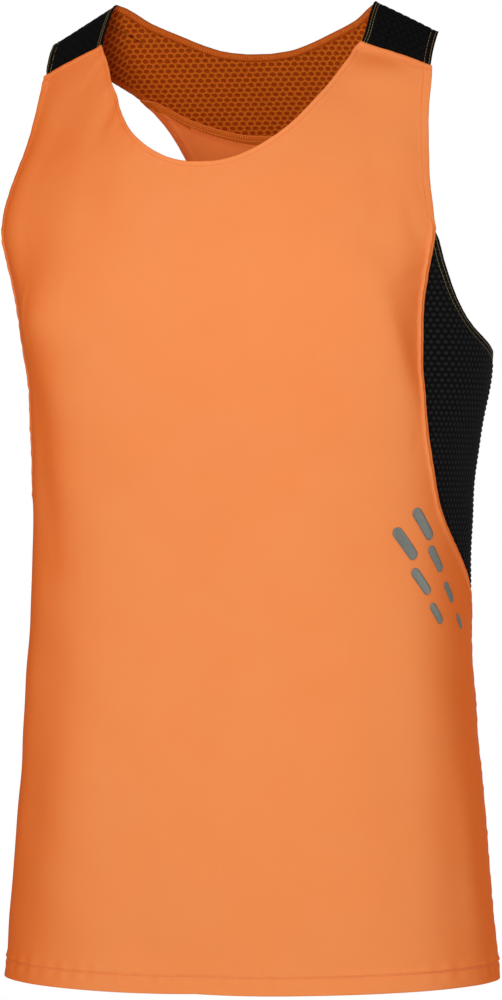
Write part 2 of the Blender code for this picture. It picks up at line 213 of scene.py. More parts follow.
def section(below):
    table = figure["sections"]
    return [along(table["below"], table[name], below)
            for name in ("halfWidth", "front", "back", "squareness")]


# The shoulder line's height: an arch between the straps, straight along them
def crown(across):
    reach = np.abs(across) / figure["neckHalf"]
    return figure["crownRise"] * np.where(reach < 1, 1 - reach**2, 2 - 2 * reach)


# How much higher the cloth hangs at the right, where the strap starts higher and is steeper
def uneven(across, below):
    reach = np.abs(across) / figure["neckHalf"]
    strap = 1 - drape["unevenFall"] * (reach - 1)
    rise = np.where(reach < 1, reach**2, strap) * np.sign(-across)
    return drape["strapUneven"] * rise * soft(1 - below / drape["unevenOver"])


# The share of a section's full depth at a drop below the shoulder line, and the other way round
def closing(drop):
    left = 1 - np.clip(drop / figure["shoulderDrop"], 0, 1)
    return (1 - left ** figure["shoulderRound"]) ** (1 / figure["shoulderRound"])


def dropOf(share):
    power = figure["shoulderRound"]
    return figure["shoulderDrop"] * (1 - (1 - share**power) ** (1 / power))


# How far the cloth stands off the figure
def relief(x, y, below):
    angle = np.degrees(np.arctan2(x, -y))
    out = np.zeros_like(x)
    for a, b, halfAngle, halfHeight, height in zip(*drape["swells"].values()):
        out = out + height * np.exp(-((angle - a) / halfAngle) ** 2 - ((below - b) / halfHeight) ** 2)
    for a, b, footA, footB, lowHalf, highHalf, height in zip(*drape["creases"].values()):
        reach = np.array(((footA - a) * drape["degreeLength"], footB - b))
        turned = ((angle - a + 180) % 360 - 180) * drape["degreeLength"]
        fromTop = np.stack((turned, below - b), -1)
        share = np.clip(fromTop @ reach / (reach @ reach), 0, 1)
        aside = fromTop - share[..., None] * reach
        half = np.where(aside[..., 0] < 0, lowHalf, highHalf)
        fade = np.sin(np.pi * (drape["creaseEndFade"] + (1 - 2 * drape["creaseEndFade"]) * share))
        out = out + height * fade * np.exp(-np.sum(aside**2, axis=-1) / half**2)
    for roundWaves, downWaves, phase, height in zip(*drape["waves"].values()):
        out = out + height * np.sin(np.radians(angle) * roundWaves + below * downWaves + phase)
    return out


# Places on the cloth by the angle round the figure. Bare leaves the folds out.
def around(angle, below, bare=False):
    halfWidth, front, back, squareness = section(below)
    sine, cosine = np.sin(np.radians(angle)), np.cos(np.radians(angle))
    depth = np.where(cosine > 0, front, back)
    power = (np.abs(sine) / halfWidth) ** squareness + (np.abs(cosine) / depth) ** squareness
    radius = power ** (-1 / squareness)
    x = radius * sine
    share = closing(crown(x) + below)
    y = figure["ridgeY"] + (-radius * cosine - figure["ridgeY"]) * share
    return standOff(x, y, below, bare)


# Places by the way over the shoulders: run is 0 on the shoulder line, 1 where a section is full
def over(across, run, bare=False):
    share = np.abs(run)
    below = dropOf(share) - crown(across)
    halfWidth, front, back, squareness = section(below)
    depth = np.where(run < 0, -front, back)
    full = depth * (1 - (np.abs(across) / halfWidth) ** squareness) ** (1 / squareness)
    y = figure["ridgeY"] + (full - figure["ridgeY"]) * share
    return standOff(across, y, below, bare)


def standOff(x, y, below, bare):
    out = 0 if bare else relief(x, y, below) / np.hypot(x, y)
    return np.stack((x + out * x, y + out * y, uneven(x, below) - below), -1)


def anglesOf(points, behind=False):
    across, below = np.array(points).T
    halfWidth, front, back, squareness = section(below)
    depth = -back if behind else front
    y = depth * (1 - (across / halfWidth) ** squareness) ** (1 / squareness)
    return np.stack((np.degrees(np.arctan2(across, y)), below), -1)


def runsOf(points, behind=False):
    across, below = np.array(points).T
    share = closing(crown(across) + below)
    return np.stack((across, share if behind else -share), -1)


def lengthsOf(line, scale=1):
    pace = np.linalg.norm(np.diff(line * scale, axis=0), axis=1)
    return np.concatenate(((0,), np.cumsum(pace)))


# Places on a line, at lengths along it
def readAt(stations, length, line):
    return np.stack([np.interp(stations, length, values) for values in line.T], -1)


def sharesOf(line, scale=1):
    length = lengthsOf(line, scale)
    return length / length[-1]


# Close steps beside a folded edge, for its round and its stitch groove
closeSteps = np.array((0, 0.15, 0.5, 1.0, 1.7, 2.5, 3.3, 4.1, 4.7, 5.3, 5.9, 6.6, 7.5, 8.6, 9.8,
                       10.8, 11.6, 12.2, 12.8, 13.4, 14.2, 15.2)) / 1000
closeAtEdge = 0.009
closeAtHem = 0.0155
finePerPoint = 60  # a line is measured this fine


# A smooth line through points, at a step or at given shares, closer near a folded end
def lay(points, scale, step=None, startClose=0, endClose=0, shares=None):
    points = np.array(points, float)
    index = np.arange(len(points), dtype=float)
    fine = np.linspace(0, index[-1], finePerPoint * len(points))
    line = np.stack([along(index, points[:, k], fine) for k in range(2)], -1)
    length = lengthsOf(line, scale)
    if shares is None:
        low = closeSteps[closeSteps < startClose]
        high = length[-1] - closeSteps[closeSteps < endClose][::-1]
        count = math.ceil((length[-1] - startClose - endClose) / step) + 1
        middle = np.linspace(startClose, length[-1] - endClose, count)
        stations = np.concatenate((low, middle, high))
    else:
        stations = shares * length[-1]
    at = np.interp(stations, length, fine)
    return np.stack([along(index, points[:, k], at) for k in range(2)], -1)


def chain(*lines):
    return np.concatenate([lines[0]] + [line[1:] for line in lines[1:]])


# A net of points between four lines: rows go from first to last, columns from foot to head
def net(foot, head, first, last, scale):
    u = sharesOf(head, scale)[None, :, None]
    v = sharesOf(last, scale)[:, None, None]
    sides = (1 - u) * first[:, None] + u * last[:, None]
    ends = (1 - v) * foot[None] + v * head[None]
    low = (1 - u) * foot[0] + u * foot[-1]
    high = (1 - u) * head[0] + u * head[-1]
    return sides + ends - (1 - v) * low - v * high


# The small steps that slopes are measured over
probes = {around: (0.2, 0.0005), over: (0.0005, 0.003)}


# How far a place moves for one unit of either coordinate
def slopes(place, points):
    a, b = points[..., 0], points[..., 1]
    da, db = probes[place]
    across = (place(a + da, b) - place(a - da, b)) / (2 * da)
    down = (place(a, b + db) - place(a, b - db)) / (2 * db)
    return across, down


def outward(place, points):
    across, down = slopes(place, points)
    normal = np.cross(down, across)
    normal /= np.linalg.norm(normal, axis=-1, keepdims=True)
    if place is over:
        return normal * np.sign(normal[..., 2:3])
    away = place(points[..., 0], points[..., 1]) * (1, 1, 0)
    return normal * np.sign(np.sum(normal * away, axis=-1, keepdims=True))


# The same line moved over the cloth, to the left of its own way as seen from outside
def moved(place, line, reach):
    across, down = slopes(place, line)
    spot = place(line[:, 0], line[:, 1])
    way = np.gradient(spot, axis=0)
    left = np.cross(outward(place, line), way)
    left *= reach / np.linalg.norm(left, axis=1, keepdims=True)
    aa, ab, bb = (np.sum(p * q, axis=1) for p, q in ((across, across), (across, down), (down, down)))
    la, lb = np.sum(left * across, axis=1), np.sum(left * down, axis=1)
    whole = aa * bb - ab * ab
    return line + np.stack(((bb * la - ab * lb) / whole, (aa * lb - ab * la) / whole), -1)


# Lengths of bare cloth from a coordinate's start to each point of a net, walked in short steps
def walked(place, points, axis, start, steps=24):
    at = points.copy()
    total = np.zeros(points.shape[:-1])
    reach = points[..., axis] - start
    before = None
    for k in range(steps + 1):
        at[..., axis] = start + reach * k / steps
        spot = place(at[..., 0], at[..., 1], True)
        if before is not None:
            total += np.linalg.norm(spot - before, axis=-1)
        before = spot
    return total * np.sign(reach)


nearStep = 0.00015  # between the points that stand for a line below


# The distance from each place to a line, and how far along the line its nearest point is
def nearTo(line, places):
    length = lengthsOf(line)
    stations = np.arange(0, length[-1], nearStep)
    dense = readAt(stations, length, line)
    tree = KDTree(len(dense))
    for number, spot in enumerate(dense):
        tree.insert(spot, number)
    tree.balance()
    found = [tree.find(spot)[1:] for spot in places.reshape(-1, 3)]
    number, distance = np.array(found).T
    shape = places.shape[:-1]
    return distance.reshape(shape), stations[number.astype(int)].reshape(shape)


cloth = {
    "thin": 0.0008,  # one layer of the knit
    "dropOver": 0.0016,  # a turned edge's step down to one layer
    "grooveHalf": 0.0007,
    "edgeRound": 0.0008,
    "edgeClosed": 0.9,  # how far its round closes an edge
    "lap": 0.0040,  # a seam's lower piece goes this far under the upper one
    "lapDip": 0.0013,
    "dipOver": 0.0045,
}

# The ways an edge is finished. Turn is the folded width, rise and flare how far it stands up all over
# and at its fold, bead a ridge beside its stitches, groove and pucker what the stitches do to the cloth,
# fold the layer turned under, and rows the stitches' distances from the fold.
finishNames = "turn rise flare bead beadAt groove pucker fold rows".split()
finish = {kind: dict(zip(finishNames, values)) for kind, *values in (
    ("hem", 0.0130, 0.0003, 0.0008, 0.0008, 0.0144, 0.0004, 0.00045, 0.0009, (0.0126,)),
    ("armhole", 0.0064, 0.0003, 0.0006, 0.0000, 0.0064, 0.0002, 0.00014, 0.0009, (0.0060,)),
    ("neck", 0.0040, 0.0003, 0.0007, 0.0000, 0.0048, 0.0002, 0.00012, 0.0009, (0.0036,)),
    ("shoulder", 0.0030, 0.0003, 0.0000, 0.0003, 0.0026, 0.0003, 0.00010, 0.0006, (0.0036,)),
    ("seam", 0.0054, 0.0006, 0.0000, 0.0008, 0.0040, 0.0002, 0.00016, 0.0004, (0.0060,)),
    ("meshArmhole", 0.0072, 0.0002, 0.0004, 0.0000, 0.0072, 0.0004, 0.00010, 0.0009, (0.0026, 0.0062)),
    ("meshNeck", 0.0044, 0.0002, 0.0004, 0.0000, 0.0050, 0.0004, 0.00008, 0.0009, (0.0022, 0.0040)),
    ("meshSeam", 0.0016, 0.0005, 0.0000, 0.0005, 0.0018, 0.0002, 0.00010, 0.0004, (0.0026,)),
    ("meshStrap", 0.0026, 0.0002, 0.0004, 0.0000, 0.0050, 0.0003, 0.00010, 0.0009, (0.0016, 0.0050)),
)}
beadHalf = 0.0011

# The drags beside a stitch row: waves along it, how far they reach, and how near it holds the cloth still
pucker = {"waves": ((610, 0), (373, 1), (1010, 2)), "reach": 0.006, "held": 0.0012}


# The height of a finished edge over plain cloth, at a distance from its fold
def edgeHeight(kind, distance):
    edge = finish[kind]
    flare = edge["flare"] * soft(1 - distance / edge["turn"])
    bead = edge["bead"] * np.exp(-(((distance - edge["beadAt"]) / beadHalf) ** 2))
    return edge["rise"] * foldedShare(edge, distance) + flare + bead


# 1 on an edge's folded width, and 0 past its step down to one layer
def foldedShare(edge, distance):
    return 1 - soft((distance - edge["turn"]) / cloth["dropOver"])


def grooveDepth(kind, distance):
    depth = [np.exp(-(((distance - row) / cloth["grooveHalf"]) ** 2)) for row in finish[kind]["rows"]]
    return finish[kind]["groove"] * np.max(depth, axis=0)


# Small uneven drags on both sides of a stitch row
def puckered(kind, distance, station):
    ripple = sum(np.sin(station * pace + phase) for pace, phase in pucker["waves"])
    fromRow = distance - finish[kind]["rows"][-1]
    near = np.exp(-((fromRow / pucker["reach"]) ** 2)) - np.exp(-((fromRow / pucker["held"]) ** 2))
    return finish[kind]["pucker"] * ripple * near


# What its edges do to a cloth: its face's height, how much thicker it is, its round, and where it is
# turned under (1) or overlocked (2)
def edgeShape(place, places, edges):
    shape = places.shape[:-1]
    height, groove, drags, fold, dip = (np.zeros(shape) for _ in range(5))
    turned = np.zeros(shape, int)
    fromFold = np.ones(shape)
    for kind, line, side in edges:
        distance, station = nearTo(place(line[:, 0], line[:, 1]), places)
        if kind == "lapped":
            inside = soft((distance - abs(side)) / cloth["dipOver"])
            dip = np.maximum(dip, cloth["lapDip"] * (1 - inside))
            turned[(distance < abs(side)) & (abs(side) > cloth["lap"])] = 2
            continue
        edge = finish[kind]
        height = np.maximum(height, edgeHeight(kind, distance))
        groove = np.maximum(groove, grooveDepth(kind, distance))
        drags = drags + puckered(kind, distance, station)
        fold = np.maximum(fold, edge["fold"] * foldedShare(edge, distance))
        turned = np.maximum(turned, distance < edge["turn"] + cloth["dropOver"] / 2)
        fromFold = np.minimum(fromFold, distance)
    bend = np.clip(1 - fromFold / cloth["edgeRound"], 0, 1)
    roll = cloth["edgeRound"] * cloth["edgeClosed"] * (1 - np.sqrt(1 - bend**2))
    return height + drags - groove - dip, fold, roll, turned


# A knit with dimples in staggered rows, which bulge outwards: 0 on the lattice, 1 in a dimple. Top and
# fall are shares of a dimple's half width, and fuzz is per metre.
dimples = {"across": 0.0060, "rows": 0.0039, "halfAcross": 0.0026, "halfDown": 0.0018,
           "top": 0.45, "fall": 0.65, "fuzz": 700}


def dimpled(flat):
    pitch = np.array((dimples["across"], dimples["rows"] * 2))
    half = np.array((dimples["halfAcross"], dimples["halfDown"]))
    nearest = np.abs((flat / pitch + 0.5) % 1 - 0.5)
    own = np.linalg.norm(nearest * pitch / half, axis=-1)
    other = np.linalg.norm((0.5 - nearest) * pitch / half, axis=-1)
    return 1 - soft((np.minimum(own, other) - dimples["top"]) / dimples["fall"])


# A closed thin shell between two faces of points. Returns the vertices of its under side.
def addShell(bm, outer, inner):
    count, across = outer.shape[:2]
    spot = bm.verts.layers.int["spot"]
    grid = bmesh.ops.create_grid(bm, x_segments=across - 1, y_segments=count - 1, size=1)["verts"]
    for number, vert in enumerate(grid):
        vert[spot] = number
    faces = list({face for vert in grid for face in vert.link_faces})
    made = bmesh.ops.extrude_face_region(bm, geom=faces, use_keep_orig=True)
    under = {item for item in made["geom"] if isinstance(item, bmesh.types.BMVert)}
    for side, verts in ((outer, grid), (inner, under)):
        for vert in verts:
            vert.co = side[vert[spot] // across, vert[spot] % across]
    return under


# A closed thin sheet of cloth on a net of points: its face up, its wrong side under it. Its materials
# are its face's, its wrong side's, and those of a turned edge and of an overlocked one.
def addCloth(name, place, points, edges, flat, materials, bulge=0):
    places = place(points[..., 0], points[..., 1])
    normal = outward(place, points)
    height, fold, roll, turned = edgeShape(place, places, edges)
    if bulge:
        height = height + dimpled(flat) * bulge * (turned == 0)
    bm = bmesh.new()
    spot = bm.verts.layers.int.new("spot")
    under = addShell(bm, places + normal * (height - roll)[..., None],
                     places + normal * (height - cloth["thin"] - fold + roll)[..., None])
    uv = bm.loops.layers.uv.new("cloth")
    flatSpots, isTurned = flat.reshape(-1, 2), turned.ravel()
    for face in bm.faces:
        for loop in face.loops:
            loop[uv].uv = flatSpots[loop.vert[spot]]
        if all(vert in under for vert in face.verts):
            face.material_index = 1 + max(isTurned[vert[spot]] for vert in face.verts)
    piece = finished(name, bm, materials)
    sides = places[1:, :-1] - places[:-1, :-1], places[:-1, 1:] - places[:-1, :-1]
    area = np.linalg.norm(np.cross(*sides), axis=-1).sum()
    size = np.ptp(flat.reshape(-1, 2), axis=0)
    print(f"{name}: {2 * len(piece.data.polygons)} triangles, {size.round(3)} m flat, {area:.4f} m2")
    return piece


# A piece from its bmesh: smooth, its faces outwards, and on the one body
def finished(name, bm, materials):
    for face in bm.faces:
        face.smooth = True
    bmesh.ops.recalc_face_normals(bm, faces=bm.faces)
    mesh = bpy.data.meshes.new(name)
    bm.to_mesh(mesh)
    bm.free()
    for material in materials:
        mesh.materials.append(material)
    piece = bpy.data.objects.new(name, mesh)
    bpy.context.collection.objects.link(piece)
    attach(piece, "root")
    return piece


stitch = {
    "pitch": 0.0026,
    "length": 0.0024,
    "width": 0.00055,
    "sides": 5,
    "rings": 4,
    "first": 0.0005,
    "overlap": 0.53,  # half a thread, as a share of its reach
    "proud": 0.25,  # how high a row's threads lie on the cloth, in widths
    "rungPitch": 0.0018,
    "rungProud": 0.35,
    "rungStart": 0.0009,
    "rungEnd": 0.0004,
    "lapStart": 0.012,
    "lapRungs": (0.12, 0.55),  # shares of an overlocked lap
    "lapRow": 0.85,
    "toneChanges": 60,  # per metre
}


# Stitches end to end along the rows of each edge, on the cloth's face
def addRows(bm, place, edges):
    for kind, line, side in edges:
        if kind == "lapped":
            continue
        for row in finish[kind]["rows"]:
            height = edgeHeight(kind, row) - grooveDepth(kind, row) + stitch["width"] * stitch["proud"]
            addStitches(bm, place, moved(place, line, side * row), height)


def addStitches(bm, place, line, height):
    length = lengthsOf(place(line[:, 0], line[:, 1]))
    starts = np.arange(stitch["first"], length[-1] - stitch["pitch"], stitch["pitch"])
    ends = [readAt(at, length, line) for at in (starts, starts + stitch["length"])]
    addThreads(bm, place, *ends, height)


# Threads across each edge's turned band, on the wrong side, and across an overlocked lap
def addRungs(bm, place, edges):
    for kind, line, side in edges:
        if kind == "lapped" and abs(side) > cloth["lap"]:
            line = line[lengthsOf(place(line[:, 0], line[:, 1])) > stitch["lapStart"]]
            height = -cloth["lapDip"] - cloth["thin"]
            near, far = (moved(place, line, -side * share) for share in stitch["lapRungs"])
            crossThreads(bm, place, near, far, height)
            addStitches(bm, place, moved(place, line, -side * stitch["lapRow"]), height)
        elif kind not in ("lapped", "seam", "meshSeam", "shoulder"):
            edge = finish[kind]
            near = moved(place, line, side * stitch["rungStart"])
            far = moved(place, line, side * (edge["turn"] - stitch["rungEnd"]))
            height = edgeHeight(kind, edge["turn"] / 2) - cloth["thin"] - edge["fold"]
            crossThreads(bm, place, near, far, height - stitch["width"] * stitch["rungProud"])


def crossThreads(bm, place, near, far, height):
    length = lengthsOf(place(near[:, 0], near[:, 1]))
    at = np.arange(stitch["rungPitch"], length[-1], stitch["rungPitch"])
    ends = [readAt(at, length, side) for side in (near, far)]
    addThreads(bm, place, *ends, height)


# Threads are made apart and then joined, which is much faster than one growing mesh
def addThreads(bm, place, starts, ends, height):
    normals = outward(place, (starts + ends) / 2)
    firsts, lasts = (place(side[:, 0], side[:, 1]) for side in (starts, ends))
    part = bmesh.new()
    for first, last, normal in zip(firsts, lasts, normals):
        way, up = Vector(last - first), Vector(normal)
        aside = up.cross(way).normalized()
        centre = Vector((first + last) / 2) + up * height
        shape = Matrix((aside * stitch["width"] / 2, up * stitch["width"] / 2, way * stitch["overlap"]))
        bmesh.ops.create_uvsphere(part, u_segments=stitch["sides"], v_segments=stitch["rings"], radius=1,
                                  matrix=Matrix.Translation(centre) @ shape.transposed().to_4x4())
    threads = bpy.data.meshes.new("threads")
    part.to_mesh(threads)
    part.free()
    bm.from_mesh(threads)
    bpy.data.meshes.remove(threads)


def addThreadPiece(name, material, add, place, edges):
    bm = bmesh.new()
    add(bm, place, edges)
    piece = finished(name, bm, (material,))
    piece.data.calc_loop_triangles()
    print(f"{name}: {len(piece.data.loop_triangles)} triangles")
    return piece


# sRGB hex to the linear colour that the shaders want
def linear(hexColour):
    parts = [int(hexColour[k:k + 2], 16) / 255 for k in (1, 3, 5)]
    return tuple(p / 12.92 if p <= 0.04045 else ((p + 0.055) / 1.055) ** 2.4 for p in parts) + (1,)


# Adds a node with its settings, sets or links its inputs, and gives one output
def addNode(tree, kind, inputs, output=0, **settings):
    node = tree.nodes.new("ShaderNode" + kind)
    for name, value in settings.items():
        setattr(node, name, value)
    for name, value in inputs.items():
        if isinstance(value, bpy.types.NodeSocket):
            tree.links.new(value, node.inputs[name])
        else:
            node.inputs[name].default_value = value
    return node.outputs[output]


# A new material with its constants set on the shader
def newMaterial(name, hexColour, **constants):
    material = bpy.data.materials.new(name)
    material.use_nodes = True
    material.diffuse_color = linear(hexColour)
    shader = material.node_tree.nodes["Principled BSDF"]
    for socket, value in constants.items():
        shader.inputs[socket.replace("_", " ")].default_value = value
    return material, material.node_tree, shader


# Its wales and courses in metres, and its fuzz and blotches per metre
knit = {"wale": 0.0013, "course": 0.0011, "fuzz": 900, "blotches": 16}


# Polyester interlock, brushed fine on its face: a smooth matt cloth whose nap has a soft sheen. Its colour
# has painted shade: paler face on, and deeper and redder where it turns away from the camera. Its wales
# are 0.5 mm apart, drawn at 1.3 mm so that a little shows.
def interlockKnit(name, hexColour, deepHex):
    material, tree, shader = newMaterial(name, hexColour, Roughness=0.8, Specular_IOR_Level=0.06,
                                         Sheen_Weight=0.02, Sheen_Roughness=0.5)
    flat = addNode(tree, "UVMap", {}, uv_map="cloth")
    pace = (2 * math.pi / knit["wale"], 2 * math.pi / knit["course"], 0)
    toWales = addNode(tree, "VectorMath", {0: flat, 1: pace}, operation="MULTIPLY")
    ribs = addNode(tree, "SeparateXYZ", {0: addNode(tree, "VectorMath", {0: toWales}, operation="SINE")})
    fuzz = addNode(tree, "TexNoise", {"Vector": flat, "Scale": knit["fuzz"], "Detail": 3, "Roughness": 0.6})
    blotch = addNode(tree, "TexNoise", {
        "Vector": flat, "Scale": knit["blotches"], "Detail": 4, "Roughness": 0.55})
    # Painted shade: the facing deepens the colour where the cloth turns away from the camera
    away = addNode(tree, "LayerWeight", {"Blend": 0.5}, "Facing")
    depth = addNode(tree, "MapRange", {"Value": away, "From Min": 0.12, "From Max": 0.75})
    tone = addNode(tree, "Math", {0: fuzz, 1: blotch}, operation="ADD")
    depth = addNode(tree, "Math", {0: tone, 1: 0.35, 2: depth}, operation="MULTIPLY_ADD")
    depth = addNode(tree, "Math", {0: depth, 1: 0.3}, operation="SUBTRACT", use_clamp=True)
    colour = addNode(tree, "MixRGB", {"Fac": depth, "Color1": linear(hexColour), "Color2": linear(deepHex)})
    height = addNode(tree, "Math", {0: ribs, 1: 0.25, 2: fuzz}, operation="MULTIPLY_ADD")
    bump = addNode(tree, "Bump", {"Strength": 0.3, "Distance": 0.0002, "Height": height})
    tree.links.new(colour, shader.inputs["Base Color"])
    tree.links.new(bump, shader.inputs["Normal"])
    return material


# Dimpled polyester mesh, knitted in two colours: domes on the face and dimples on the wrong side, in
# a raised lattice. The yarn is dull. A second colour fills the dimples: on the face it is a painted
# highlight on the tops of the domes, and on the wrong side it is darker than the lattice.
def dimpleKnit(name, latticeHex, dimpleHex, reach):
    material, tree, shader = newMaterial(name, latticeHex, Roughness=0.85, Specular_IOR_Level=0.12)
    flat = addNode(tree, "UVMap", {}, uv_map="cloth")
    pitch = (dimples["across"], dimples["rows"] * 2)
    middle = (0.5, 0.5, 0)
    cells = addNode(tree, "VectorMath", {0: flat, 1: (1 / pitch[0], 1 / pitch[1], 0), 2: middle},
                    operation="MULTIPLY_ADD")
    cells = addNode(tree, "VectorMath", {0: cells}, operation="FRACTION")
    cells = addNode(tree, "VectorMath", {0: cells, 1: middle}, operation="SUBTRACT")
    own = addNode(tree, "VectorMath", {0: cells}, operation="ABSOLUTE")
    other = addNode(tree, "VectorMath", {0: middle, 1: own}, operation="SUBTRACT")
    stretch = (pitch[0] / dimples["halfAcross"], pitch[1] / dimples["halfDown"], 0)
    reaches = []
    for cell in (own, other):
        wide = addNode(tree, "VectorMath", {0: cell, 1: stretch}, operation="MULTIPLY")
        reaches.append(addNode(tree, "VectorMath", {0: wide}, "Value", operation="LENGTH"))
    nearest = addNode(tree, "Math", {0: reaches[0], 1: reaches[1]}, operation="MINIMUM")
    fuzz = addNode(tree, "TexNoise", {
        "Vector": flat, "Scale": dimples["fuzz"], "Detail": 3, "Roughness": 0.6})
    nearest = addNode(tree, "Math", {0: fuzz, 1: 0.5, 2: nearest}, operation="MULTIPLY_ADD")
    mask = addNode(tree, "MapRange", {"Value": nearest, "From Min": reach - 0.25, "From Max": reach + 0.25,
                                      "To Min": 1.0, "To Max": 0.0}, interpolation_type="SMOOTHSTEP")
    # The dimple colour: on the face, a painted highlight on the domes' tops
    colour = addNode(tree, "MixRGB", {
        "Fac": mask, "Color1": linear(latticeHex), "Color2": linear(dimpleHex)})
    shade = addNode(tree, "MapRange", {"Value": fuzz, "From Min": 0.3, "From Max": 0.7,
                                       "To Min": 0.8, "To Max": 1.15})
    colour = addNode(tree, "VectorMath", {0: colour, 1: shade}, operation="MULTIPLY")
    height = addNode(tree, "Math", {0: fuzz, 1: 0.5, 2: mask}, operation="MULTIPLY_ADD")
    bump = addNode(tree, "Bump", {"Strength": 0.4, "Distance": 0.0003, "Height": height})
    tree.links.new(colour, shader.inputs["Base Color"])
    tree.links.new(bump, shader.inputs["Normal"])
    return material


# Spun polyester sewing thread, a little glossier than the knit: 0.3 mm, drawn at 0.55 mm to show
def sewingThread(name, hexColour, deepHex):
    material, tree, shader = newMaterial(name, hexColour, Roughness=0.55, Specular_IOR_Level=0.3)
    place = addNode(tree, "TexCoord", {}, "Object")
    tone = addNode(tree, "TexNoise", {
        "Vector": place, "Scale": stitch["toneChanges"], "Detail": 6, "Roughness": 0.7})
    share = addNode(tree, "MapRange", {"Value": tone, "From Min": 0.35, "From Max": 0.65})
    colour = addNode(tree, "MixRGB", {"Fac": share, "Color1": linear(deepHex), "Color2": linear(hexColour)})
    tree.links.new(colour, shader.inputs["Base Color"])
    return material


# Heat-pressed reflective film: grey, with glass beads, each painted lighter at its centre as a faint
# painted glint, and bumped. They are under 0.1 mm, and drawn at 0.7 mm so that a little shows.
def reflectiveFilm():
    material, tree, shader = newMaterial("reflective film", "#7E8078", Roughness=0.5, Metallic=0.2)
    place = addNode(tree, "TexCoord", {}, "Object")
    beads = addNode(tree, "TexVoronoi", {"Vector": place, "Scale": film["beads"]})
    tone = addNode(tree, "MapRange", {"Value": beads, "From Min": 0.1, "From Max": 0.7,
                                      "To Min": 1.0, "To Max": 0.0})
    # Painted glint: lighter at each bead's centre
    colour = addNode(tree, "MixRGB", {"Fac": tone, "Color1": linear("#74766F"), "Color2": linear("#8C8E86")})
    bump = addNode(tree, "Bump", {"Strength": 0.3, "Distance": 0.0001, "Height": beads})
    tree.links.new(colour, shader.inputs["Base Color"])
    tree.links.new(bump, shader.inputs["Normal"])
    return material


# Seamless studio paper: matt, with a faint grain. It glows a little to the camera alone, to stay pale
# from every side without lighting the cloth.
def studioPaper():
    material, tree, shader = newMaterial("studio paper", "#F4F3F1", Roughness=0.9)
    place = addNode(tree, "TexCoord", {}, "Object")
    grain = addNode(tree, "TexNoise", {"Vector": place, "Scale": studio["grain"], "Detail": 5})
    colour = addNode(tree, "MixRGB", {
        "Fac": grain, "Color1": linear("#F1F0EE"), "Color2": linear("#F8F7F5")})
    seen = addNode(tree, "LightPath", {}, "Is Camera Ray")
    glow = addNode(tree, "Math", {0: seen, 1: studio["paperGlow"]}, operation="MULTIPLY")
    tree.links.new(colour, shader.inputs["Base Color"])
    tree.links.new(colour, shader.inputs["Emission Color"])
    tree.links.new(glow, shader.inputs["Emission Strength"])
    material.cycles.emission_sampling = "NONE"
    return material


studio = {
    "azimuth": 20.5,
    "distance": 5.0,
    "height": -0.361,
    "lens": 247.2,
    "aim": (0, 0, -0.36),
    "floor": -1.45,  # where the wearer would stand
    "floorRadius": 9.0,
    "floorSides": 96,
    "grain": 60,  # per metre
    "skyForCloth": 0.21,
    "paperGlow": 0.5,
    # name, place, size, power
    "lights": (
        ("key", (0.16, -1.79, -0.15), 0.8, 14.0),
        ("top", (0.00, -1.90, 0.90), 0.8, 12.4),
        ("rim", (1.77, 0.31, -0.15), 0.8, 7.6),
        ("back", (-0.6, 3.2, 0.6), 2.4, 30),
    ),
}


def setStudio():
    scene = bpy.context.scene
    turn = math.radians(studio["azimuth"])
    lens = bpy.data.cameras.new("camera")
    lens.lens = studio["lens"]
    camera = bpy.data.objects.new("camera", lens)
    scene.collection.objects.link(camera)
    away = studio["distance"]
    camera.location = (away * math.sin(turn), -away * math.cos(turn), studio["height"])
    camera.rotation_euler = (math.pi / 2, 0, turn)
    scene.camera = camera
    scene.view_settings.view_transform = "Standard"
    for name, place, size, power in studio["lights"]:
        lamp = bpy.data.lights.new(name, "AREA")
        lamp.size = size
        lamp.energy = power
        light = bpy.data.objects.new(name, lamp)
        scene.collection.objects.link(light)
        light.location = place
        light.rotation_euler = (Vector(studio["aim"]) - Vector(place)).to_track_quat("-Z", "Y").to_euler()
    # A white surround: the camera sees it bright, and it lights the cloth less
    world = bpy.data.worlds.new("surround")
    scene.world = world
    world.use_nodes = True
    tree = world.node_tree
    tree.nodes.clear()
    seen = addNode(tree, "LightPath", {}, "Is Camera Ray")
    dim = addNode(tree, "Background", {"Color": linear("#FFFFFF"), "Strength": studio["skyForCloth"]})
    bright = addNode(tree, "Background", {"Color": linear("#FFFFFF"), "Strength": 1.0})
    mix = addNode(tree, "MixShader", {0: seen, 1: dim, 2: bright})
    tree.links.new(mix, tree.nodes.new("ShaderNodeOutputWorld").inputs[0])
    bm = bmesh.new()
    bmesh.ops.create_circle(bm, cap_ends=True, segments=studio["floorSides"], radius=studio["floorRadius"])
    bmesh.ops.translate(bm, verts=bm.verts, vec=(0, 0, studio["floor"]))
    mesh = bpy.data.meshes.new("floor")
    bm.to_mesh(mesh)
    bm.free()
    mesh.materials.append(studioPaper())
    floor = bpy.data.objects.new("floor", mesh)
    scene.collection.objects.link(floor)


setStudio()
print("studio ready")


def hemLine(angles):
    lift = figure["hemSideRise"] * np.sin(np.radians(angles - figure["hemLowAngle"])) ** 2
    return np.stack((angles, figure["hemMiddle"] - lift), -1)


# A straight line up the cloth from the hem
def upright(angle, top, shares):
    foot = hemLine(angle)
    return foot + shares[:, None] * (np.array((angle, top)) - foot)


# The lower side seam, from the hem to the tip of the side panel
def sideSeam(step):
    foot = hemLine(turns["sideSeam"])
    return lay((foot, turns["frontSeam"][0]), byAngle, step, startClose=closeAtHem)


def mirrored(points, other=(0, 0)):
    return points * (-1, 1) + other


def bothHalves(half, middleFirst, other=(0, 0)):
    if middleFirst:
        return np.concatenate((mirrored(half[:, :0:-1], other), half), axis=1)
    return np.concatenate((half, mirrored(half[:, -2::-1], other)), axis=1)


# Edges of the left half and their mirror images. The sign is 1 where the cloth lies left of the line,
# seen from outside and along its way, and -1 at its right. A lapped edge has its lap's width instead.
def bothSides(*edges, other=(0, 0)):
    return [edge for kind, line, side in edges
            for edge in ((kind, line, side), (kind, mirrored(line, other), -side))]


